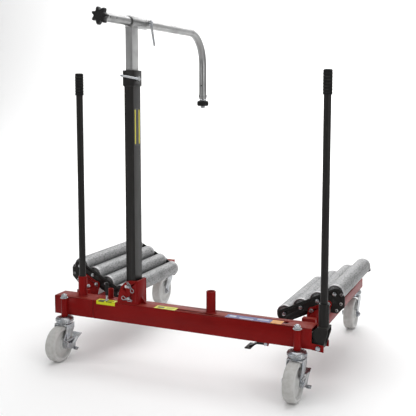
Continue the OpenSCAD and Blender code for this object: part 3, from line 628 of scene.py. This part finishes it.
def makeFoot():
    low, high, centre = span("foot_knob")
    seat, radius = (centre[0], centre[1], high[2] - 10 * mm), (high[0] - low[0]) / 2 / mm + 1.5

    def fluted(radius_, along, angle):  # six soft flutes
        wave = (0.5 + 0.5 * np.cos(6 * angle)) ** 0.7
        return radius_ * (1 - 0.17 * (1 - wave) * np.clip((radius_ / radius - 0.5) / 0.3, 0, 1))
    body = softened([[0, -8.4], [radius - 6, -8.6], [radius - 0.8, -11.5], [radius, -16],
                     [radius, -27], [radius - 1.5, -32], [radius - 7, -34.2], [0, -34.2]], 3, 7)
    tip = softened([[0, -32], [10.5, -32], [11, -36], [10.4, -42], [8.6, -45.6], [0, -46]], 1.6, 6)
    collar = softened([[0, -1.6], [16, -1.6], [17, -3], [17, -8.6], [0, -8.6]], 0.8, 4)
    rub = np.clip((body[:, 0] - radius + 5) / 5, 0, 1)
    piece("foot_knob_moulding", [turned(body, "z", seat, 168, fluted, rub)], "foot_knob",
          "black_plastic", ["foot_knob"], 50)
    piece("foot_knob_collar", [turned(tip, "z", seat, 64), turned(collar, "z", seat, 64),
                               turned([[0, -4], [5.9, -4], [5.9, 9], [0, 9]], "z", seat, 32)],
          "foot_knob", "zinc_hardware")


def holeSpot(middle, out, along, radius):
    # a dark round patch of painted shade standing for a hole, following the tube's curve, a fiftieth of a
    # millimetre proud, closed underneath
    out, along = np.array(out, float), np.array(along, float)
    angle = np.linspace(0, 2 * np.pi, 36, endpoint=False)[None, :]
    ring = np.array([0, 1.2, 2.4, 3.3, 3.4, 0])[:, None]
    side, run = ring * np.cos(angle), ring * np.sin(angle)
    height = np.sqrt((radius + 0.02) ** 2 - side ** 2) - np.array([0, 0, 0, 0, 0.8, 0.8])[:, None]
    across = np.cross(along, out)
    patch = height[..., None] * out + side[..., None] * across + run[..., None] * along
    return gridMesh("spot", np.array(middle) + patch * mm)


def makeArm():
    # straight run, quarter bend, drop: one circle carried along the path, with a plug seam and an eased
    # lip at both ends
    low, high, centre = span("arm_tube")
    radius, bend = 18.0, 145.0
    end, back, top = low[1] / mm, high[1] / mm - radius, high[2] / mm - radius
    turn = np.linspace(0, np.pi / 2, 40)
    straight = np.stack([np.linspace(end, back - bend, 60), np.full(60, top)], 1)
    arc = np.stack([back - bend + bend * np.sin(turn), top - bend + bend * np.cos(turn)], 1)
    drop = np.stack([np.full(20, back), np.linspace(top - bend, low[2] / mm, 20)], 1)
    nearLip, farLip = np.array([[end + 0.9, top]]), np.array([[back, low[2] / mm + 0.9]])
    flat = np.concatenate([straight[:1], straight[:1] + [0.01, 0], nearLip, straight[1:], arc[1:-1],
                           drop[:-1], farLip, drop[-1:] + [0, 0.01], drop[-1:]])
    thick = np.full(len(flat), radius)
    thick[[0, -1]], thick[[1, -2]] = 0.0, radius - 0.9
    path = np.stack([np.full(len(flat), centre[0]), flat[:, 0] * mm, flat[:, 1] * mm], 1)
    band = softened([[17.5, 8], [20, 8], [20.6, 10], [20.6, 19], [20, 21], [17.5, 21]], 0.9, 4, True)
    ring = loopMesh(band, "z", (centre[0], back * mm, low[2]), 64)
    nearRing = loopMesh(softened([[17.5, 2], [18.7, 2], [18.7, 9], [17.5, 9]], 0.5, 4, True), "y",
                        (centre[0], low[1], top * mm), 64)
    piece("arm_tube_bent", [rodMesh(path, thick * mm, (1, 0, 0), 56, round_=False), ring, nearRing], "arm",
          "bright_chrome", ["arm_tube"], 40)
    holes = [(low[1] + 22 * mm, top * mm), (low[1] + 68 * mm, top * mm)]
    # the holes are not cut: dark patches of painted shade stand for them
    eyes = [holeSpot((centre[0], y, z), (1, 0, 0), (0, 1, 0), radius) for y, z in holes]
    eyes.append(holeSpot((centre[0], back * mm, low[2] + 66 * mm), (0, -1, 0), (0, 0, 1), radius))
    piece("arm_holes", eyes, "arm", "hollow", (), 60)


def makeClamp(node, lean):
    # shoulder screw along X and a long bar through its head, leaning by `lean` degrees from upright
    low, high, _ = span(node)
    angle, out = math.radians(lean), (high[0] - low[0]) / mm - 12
    way = np.array([0, -math.sin(angle), math.cos(angle)])
    # the longer of the rod's two extents fixes its length, and its far tip then gives the head's middle
    square = 5 * np.abs(way[[2, 1]])  # half thickness seen across Y and across Z
    extent = np.array([high[1] - low[1], high[2] - low[2]]) / mm - 2 * square
    main = int(np.argmax(np.abs(way[1:])))
    rod = extent[main] / abs(way[1 + main])
    far = (low if way[1 + main] < 0 else high)[1 + main] - np.sign(way[1 + main]) * square[main] * mm
    head = far - way[1 + main] * (rod - 12) * mm
    other = 1 - main
    tip = (low if way[1 + other] < 0 else high)[1 + other] - np.sign(way[1 + other]) * square[other] * mm
    seat = np.array([low[0], 0, 0])
    seat[1 + main], seat[1 + other] = head, tip - way[1 + other] * (rod - 12) * mm
    screw = [turned(softened([[0, 0], [5.95, 0], [5.95, out - 3], [8, out - 2], [9, out], [9, out + 10.5],
                              [7.5, out + 12], [0, out + 12]], 0.8, 4),
                    "x", seat, 48)]
    middle = seat + np.array([(out + 6) * mm, 0, 0])
    t = np.linspace(0, 1, 24)[:, None]
    path = middle + way * (-10 + (rod - 14) * t) * mm
    screw.append(rodMesh(path, (5.3 - 1.1 * t[:, 0]) * mm, (1, 0, 0), 24))
    piece(node + "_turned", screw, bodyOf[node], "zinc_hardware", [node])


def makePivotBolt():
    _, high, centre = span("lever_pin")
    near, far = (tube["line"] - tube["half"]) * mm, (tube["line"] + tube["half"]) * mm
    flats, depth = 17, min(6.0, (high[1] - far) / mm)
    shank = turned([[0, 0], [7.9, 0], [7.9, 80], [0, 80]], "y", (centre[0], near, centre[2]), 40)
    piece("lever_pin_turned", [shank, hexHead(backward("y"), (centre[0], near, centre[2]), flats, 0, depth),
                               hexHead("y", (centre[0], far, centre[2]), flats, 0, depth)],
          bodyOf["lever_pin"], "zinc_hardware", ["lever_pin"])


makePivotBolt()
makeStar()
makeFoot()
makeArm()
makeClamp("mast_screw", 86)
makeClamp("arm_screw", 197)
print("knobs, arm and clamps made")


# lever bars and grips, pull pin, socket screw, spring clips

gripShape = dict(ridges=7, bulge=1.0)


def makeBar(node):
    low, high, centre = span(node)
    long, radius = (high[2] - low[2]) / mm, (high[0] - low[0]) / 2 / mm
    profile = [[0, 0], [radius - 2.5, 0], [radius - 0.6, 0.1],
               [radius, 1.2]] + [[radius, y] for y in np.linspace(20, long - 3, 24)] + [[radius - 1, long],
                   [0, long]]
    piece(node + "_tube", [turned(profile, "z", (centre[0], centre[1], low[2]), 64)], bodyOf[node],
          "black_paint", [node], 40)


def makeGrip(node):
    low, high, centre = span(node)
    long, radius = (high[2] - low[2]) / mm, (high[0] - low[0]) / 2 / mm
    along = np.linspace(3, long - 8, 150)
    ridges = np.clip(np.sin((along - 3) / (long - 11) * gripShape["ridges"] * 2 * np.pi), 0, 1) ** 0.6
    middle = radius - 1.6 + ridges * gripShape["bulge"]
    radii = np.concatenate([[14.05, radius - 2.2, radius - 0.4], middle,
                            [radius - 1.0, radius - 2.6, radius - 7, 0]])
    heights = np.concatenate([[0, 0, 1.6], along, [long - 5, long - 2, long - 0.2, long]])
    rub = np.concatenate([[0, 0, 0.3], ridges * 0.9, [0.6, 0.8, 0.4, 0]])
    piece(node + "_sleeve", [turned(np.stack([radii, heights], 1), "z", (centre[0], centre[1], low[2]), 72,
                                    None, rub)],
          bodyOf[node], "grip_rubber", [node], 60)


def makePullPin():
    low, high, centre = span("width_pin")
    seat, long = (centre[0], centre[1], low[2]), (high[2] - low[2]) / mm
    sleeve = softened([[0, long - 56], [5.6, long - 56], [6.5, long - 52], [6.3, long - 30], [6.5, long - 6],
                       [5.4, long - 0.6], [0, long]], 1.4, 6)
    piece("width_pin_sleeve", [turned(sleeve, "z", seat, 48, None,
                                      np.clip((sleeve[:, 1] - long + 30) / 30, 0, 1))],
          "width_pin", "black_plastic", ["width_pin"])
    shank = softened([[0, 0], [3.6, 0], [4.7, 1.4], [4.7, long - 55], [0, long - 55]], 0.4, 4)
    guide = softened([[4.9, 3.9], [7.6, 3.9], [7.6, 9], [6.6, 10.4], [4.9, 10.4]], 0.8, 4, True)
    piece("width_pin_shank", [turned(shank, "z", seat, 40)], "width_pin", "zinc_hardware")
    piece("width_pin_guide", [loopMesh(guide, "z", seat, 40)], "main_frame", "zinc_hardware")


def makeSocketScrew():
    low, high, centre = span("left_screw")
    seat, long = (low[0], centre[1], centre[2]), (high[0] - low[0]) / mm
    piece("left_screw_turned", [turned([[0, 0], [3.9, 0], [3.9, long], [3.2, long], [0, long]], "x", seat,
                                       32),
                                hexHead("x", seat, 13.5, 10.4, 17, True)], "left_screw", "zinc_hardware",
          ["left_screw"])


clipShape = dict(wire=1.6, eye=7.6, leg=16)


def makeClips():
    # one wire: straight leg through the pin, a round eye, then a wavy leg that hugs the pin
    low, high, centre = span("mast_pins")
    tips, wire = low[1] + 5 * mm, clipShape["wire"]
    eye, leg = clipShape["eye"], clipShape["leg"]
    turn = np.linspace(-0.42 * np.pi, 1.32 * np.pi, 44)
    loop = np.stack([-26 - eye * np.sin(turn), 1.5 - eye * np.cos(turn)], 1)
    hug = softened([[-17, 6.5], [-8, 3.6], [-4.5, 8.4], [4.0, 8.2], [8, 4.2], [15, 6.8]], 5, 9)
    flat = np.concatenate([[[leg, 0], [6, 0], [-6, 0], [-15, -1.2]], loop, hug])
    flat = softened(flat, 2.2, 3)
    made = []
    for z, lean in ((low[2] + 6 * mm, 100), (high[2] - 6 * mm, -35)):
        a = math.radians(lean)
        ahead = np.array([math.sin(a), 0, math.cos(a)])
        across = np.array([math.cos(a), 0, -math.sin(a)])
        spot = np.array([centre[0], tips, z])
        path = spot + (flat[:, :1] * ahead + flat[:, 1:] * across) * mm
        lifted = np.linspace(0, 1, len(flat))[:, None] * np.array([0, -1.0 * mm, 0])
        made.append(rodMesh(path + lifted, wire * mm, (0, 1, 0), 12))
    piece("spring_clips_bent", made, bodyOf["spring_clips"], "zinc_hardware", ["spring_clips"], 70)


for node in ("right_bar", "left_bar"):
    makeBar(node)
for node in ("right_grip", "left_grip"):
    makeGrip(node)
makePullPin()
makeSocketScrew()
makeClips()
print("bars, grips and clips made")


# welds

def box4(x0, x1, y0, y1, z):  # corners of a level rectangle, in metres
    return [[x0, y0, z], [x1, y0, z], [x1, y1, z], [x0, y1, z]]


def makeWelds():
    # beads where tubes and plates meet; each run is a path, a radius and a seed
    line, mastX, legTop, legEdge = tube["line"], tube["mast"], tube["legTop"], tube["legEdge"]
    top, front = tube["top"] * mm, (line - tube["half"]) * mm
    up, along = (0, 0, 1), (1, 0, 0)
    size = 2.4 * mm
    runs = {"main_frame": [], "left_frame": [], "mast": [], "inner_mast": []}
    for body, stem in (("main_frame", "front_right_stem"), ("left_frame", "front_left_stem")):
        x = span(stem)[2][0]
        for s in (-1, 1):  # both sides of the stem's web, and where the leg meets the beam
            runs[body].append(weldBead([[x + s * 9.6 * mm, front - 0.2 * mm, 188 * mm],
                                        [x + s * 9.6 * mm, front - 0.2 * mm, 263 * mm]], size, along, 5))
            runs[body].append(weldBead([[x + s * 33.4 * mm, -303.6 * mm, 189 * mm],
                                        [x + s * 33.4 * mm, -303.6 * mm, 227 * mm]], size, along, 6))
        runs[body].append(weldBead([[x - 33 * mm, legEdge * mm, legTop * mm],
                                    [x + 33 * mm, legEdge * mm, legTop * mm]], size, up, 7))
        for y in (-192 * mm, 353 * mm):
            for s in (-0.6, 5.6):
                runs[body].append(weldBead([[x - 30 * mm, y + s * mm, legTop * mm],
                                            [x + 30 * mm, y + s * mm, legTop * mm]], 1.8 * mm, up, 8))
    for body, x, r in (("main_frame", tube["centreSocket"] * mm, 23.4),
                       ("left_frame", tube["leftSocket"] * mm, 23.4),
                       ("main_frame", tube["post"] * mm, 12.2)):
        angle = np.linspace(0, 2 * np.pi, 60, endpoint=False)
        y = tube["postLine"] * mm if r < 20 else line * mm
        height = np.full(60, top + 0.3 * mm)
        ring = np.stack([x + r * mm * np.cos(angle), y + r * mm * np.sin(angle), height], 1)
        runs[body].append(weldBead(ring, size if r > 20 else 1.5 * mm, up, 9, True))
    for s in (-1, 1):  # feet of the mast bracket
        y = line * mm + s * 36.2 * mm
        runs["main_frame"].append(weldBead([[-280 * mm, y, top + 0.3 * mm], [-184 * mm, y, top + 0.3 * mm]],
                                           size, up, 10))
        runs["main_frame"].append(weldBead([[-183 * mm, y - s * 0.3 * mm, top + 3 * mm],
                                            [-183 * mm, y - s * 0.3 * mm, top + 100 * mm]], 1.6 * mm, along,
                                           11))
    for s in (-1, 1):
        runs["main_frame"].append(weldBead([[-182 * mm, line * mm + s * 4.4 * mm, top + 0.3 * mm],
                                            [-161 * mm, line * mm + s * 4.4 * mm, top + 0.3 * mm]], 1.8 * mm,
                                           up, 12))
    high = span("mast_tube")[1]
    collar = box4(mastX * mm - 21.6 * mm, mastX * mm + 21.6 * mm, line * mm - 30.6 * mm,
                  line * mm + 30.6 * mm, high[2] - 62.4 * mm)
    runs["mast"].append(weldBead(softened(collar, 4 * mm, 5, True), 2.2 * mm, up, 13, True))
    neck = box4(mastX * mm - 15.6 * mm, mastX * mm + 15.6 * mm, line * mm - 24.6 * mm, line * mm + 24.6 * mm,
                tube["armHeight"] * mm - 23.6 * mm)
    runs["inner_mast"].append(weldBead(softened(neck, 3 * mm, 5, True), 2.4 * mm, up, 14, True))
    angle = np.linspace(0, 2 * np.pi, 48, endpoint=False)
    for body, x, y, z, r in (("inner_mast", mastX + 24, line + 82, tube["armHeight"], 11.4),
                             ("mast", mastX + tube["mastHalf"], -352, 1196, 11.4)):
        ring = np.stack([np.full(48, x * mm + (0.2 * mm)), y * mm + r * mm * np.cos(angle),
                         z * mm + r * mm * np.sin(angle)], 1)
        runs[body].append(weldBead(ring, 1.4 * mm, along, 15, True))
    look = {"main_frame": "red_paint", "left_frame": "red_paint", "mast": "black_paint",
            "inner_mast": "bright_chrome"}
    for body, beads in runs.items():
        if beads:
            piece("welds_" + body, beads, body, look[body], (), 60)


makeWelds()
print("welds made")


# labels

def label(name, look, corners, body, steps=14):
    # a thin skin along a chain of edge pairs: corners is a list of (left point, right point) from one end
    # to the other
    pairs = np.asarray(corners, float)
    left, right = softened(pairs[:, 0], 2.0, 4), softened(pairs[:, 1], 2.0, 4)
    u = np.linspace(0, 1, steps)[None, :, None]
    grid = (left[:, None] * (1 - u) + right[:, None] * u) * mm
    mesh = gridMesh(name, grid, ring=False)
    length = np.concatenate([[0], np.cumsum(np.linalg.norm(np.diff(left, axis=0), axis=1))])
    flat = np.stack([np.tile(u[0, :, 0], len(left)), np.repeat(1 - length / length[-1], steps)], 1)
    spots = np.empty(3 * len(mesh.vertices), np.float32)
    mesh.vertices.foreach_get("co", spots)
    nearest = ((spots.reshape(-1, 1, 3) - grid.reshape(-1, 3)) ** 2).sum(-1).argmin(1)
    corner = np.empty(len(mesh.loops), np.int32)
    mesh.loops.foreach_get("vertex_index", corner)
    mesh.uv_layers.new(name="label").data.foreach_set("uv", flat[nearest[corner]].astype(np.float32).ravel())
    mesh.materials.append(finishes[look])
    made = bpy.data.objects.new(name, mesh)
    bpy.context.collection.objects.link(made)
    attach(made, body)
    return made


def makeLabels():
    skin, line = 0.25, tube["line"]
    top, front = tube["top"] + skin, line - tube["half"] - skin

    def level(x0, x1, y0, y1):
        return [((x0, y1, top), (x1, y1, top)), ((x0, y0, top), (x1, y0, top))]
    label("label_edge", "yellow", [((-381, -356, top), (-290, -356, top)),
                                   ((-381, front, top), (-290, front, top)),
                                   ((-381, front, 251), (-290, front, 251))], "main_frame")
    label("label_beam", "yellow", level(-108, -12, -381, -345), "main_frame")
    label("label_long", "blue", level(205, 392, -378, -337), "main_frame")
    label("label_square", "orange", level(392.5, 436, -378, -337), "main_frame")
    side = tube["mast"] + tube["mastHalf"] + skin
    label("label_gauge", "gauge", [((side, line - 20, 1078), (side, line + 20, 1078)),
                                   ((side, line - 20, 926), (side, line + 20, 926))], "mast")


makeLabels()
print("labels made")


# bolts on the cradle tails are part of the plates; small steel caps make them read as screws

def screwCaps():
    for side, way in (("right", 1), ("left", -1)):
        first, last = span(side + "_roller_1")[2], span(side + "_roller_4")[2]
        run = (last - first) / np.linalg.norm(last - first)
        up = np.array([-run[2] * way, 0, run[0] * way])
        front = span(side + "_cradle")[0][1]
        caps = []
        for s, n in ((256, -12), (239, -44), (211, -62)):
            spot = first + run * s * mm + up * n * mm
            dome = [[0, 3.2], [5.6, 3.2], [6.3, 2], [6.3, 0.6], [5.2, -0.6], [3.2, -1.1], [2.9, 0.4],
                    [0, 0.5]]
            caps.append(turned(dome, "y", (spot[0], front, spot[2]), 40))
        piece(side + "_tail_screws", caps, bodyOf[side + "_cradle"], "bare_steel")


screwCaps()


# floor, light, camera

def makeStage():
    floor = bpy.data.materials.new("paleFloor")
    floor.use_nodes = True
    floor.node_tree.nodes["Principled BSDF"].inputs["Base Color"].default_value = (0.96, 0.96, 0.96, 1)
    floor.node_tree.nodes["Principled BSDF"].inputs["Roughness"].default_value = 0.85
    turn = np.linspace(0, np.pi / 2, 16)
    ahead = np.concatenate([[-9.0], 6.0 + 3.0 * np.sin(turn), [9.0]])
    rise = np.concatenate([[0.0], 3.0 - 3.0 * np.cos(turn), [12.0]])
    sides = np.array([-12.0, 12.0])
    grid = np.stack([np.broadcast_to(sides[None, :], (18, 2)), np.repeat(ahead[:, None], 2, 1),
                     np.repeat(rise[:, None], 2, 1)], -1)
    mesh = gridMesh("sweep", grid, ring=False)
    mesh.materials.append(floor)
    mesh.polygons.foreach_set("use_smooth", [True] * len(mesh.polygons))
    sweep = bpy.data.objects.new("sweep", mesh)
    bpy.context.collection.objects.link(sweep)


def softLight(name, place, aim, size, power, tint=(1, 1, 1)):
    lamp = bpy.data.lights.new(name, "AREA")
    lamp.shape = "RECTANGLE"
    lamp.size, lamp.size_y = size
    lamp.energy = power
    lamp.color = tint
    made = bpy.data.objects.new(name, lamp)
    bpy.context.collection.objects.link(made)
    made.location = place
    made.rotation_mode = "QUATERNION"
    made.rotation_quaternion = (Vector(aim) - Vector(place)).to_track_quat("-Z", "Y")


makeStage()
softLight("overhead", (0.3, 0.4, 3.4), (0, 0, 0.2), (4.2, 4.2), 84)
softLight("frontLeft", (-2.4, -3.6, 2.4), (0, 0, 0.7), (1.6, 2.0), 30)
softLight("frontRight", (3.6, -1.8, 1.8), (0, 0, 0.6), (1.2, 2.2), 30)
softLight("backdrop", (-1.5, 4.6, 6.4), (-3.0, 9.0, 1.4), (7.0, 2.0), 620)
world = bpy.data.worlds.new("studio")
world.use_nodes = True
world.node_tree.nodes["Background"].inputs["Color"].default_value = (1, 1, 1, 1)
world.node_tree.nodes["Background"].inputs["Strength"].default_value = 0.36
bpy.context.scene.world = world
bpy.context.scene.view_settings.view_transform = "Standard"

camera = bpy.data.cameras.new("camera")
camera.lens, camera.sensor_width = 62.79, 36.0
camera.shift_y = -0.0913
viewer = bpy.data.objects.new("camera", camera)
viewer.location = (1.2685, -2.9362, 1.1256)
viewer.rotation_euler = (math.pi / 2 - 0.10118, 0, 0.41743)
bpy.context.collection.objects.link(viewer)
bpy.context.scene.camera = viewer
